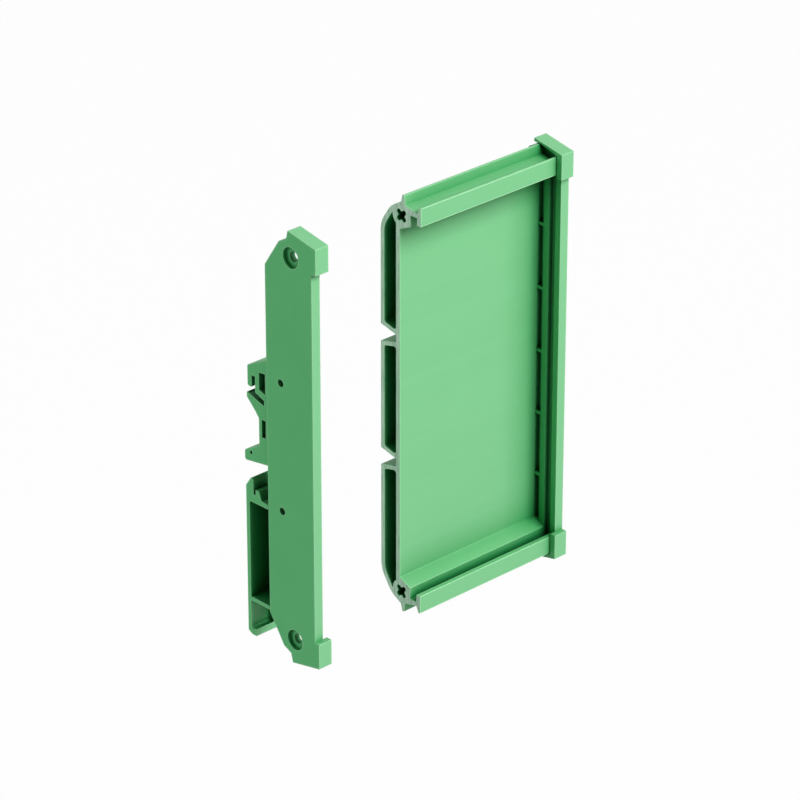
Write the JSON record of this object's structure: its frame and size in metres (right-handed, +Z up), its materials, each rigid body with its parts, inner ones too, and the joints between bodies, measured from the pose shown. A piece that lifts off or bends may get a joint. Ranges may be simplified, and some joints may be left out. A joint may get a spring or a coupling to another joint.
{
  "type": "din rail pcb mount",
  "caption": "Rail-mount circuit board holder: an extruded carrier profile between moulded end plates with clip feet, one end plate drawn off the profile.",
  "frame": {"origin": "on the front plane of the flanges of the 35 mm rail, at mid height of the rail and mid length of the carrier profile", "axes": "+X along the rail towards the fitted end plate, +Y away from the viewer into the rail, +Z up"},
  "size_m": [0.0997, 0.0306, 0.1338],
  "materials": {
    "profile_plastic": "satin",
    "left_plate_plastic": "satin",
    "right_plate_plastic": "satin",
    "screw_steel": "zinc plated"
  },
  "bodies": {
    "carrier": {"pcb_profile": "profile_plastic", "right_end_plate": "right_plate_plastic", "right_upper_screw": "screw_steel", "right_lower_screw": "screw_steel"},
    "left_end": {"left_end_plate": "left_plate_plastic"}
  },
  "joints": [
    {"name": "left_end_slide", "type": "slide", "parent": "carrier", "child": "left_end", "axis": [1, 0, 0], "range_m": [0, 0.0382]}
  ]
}
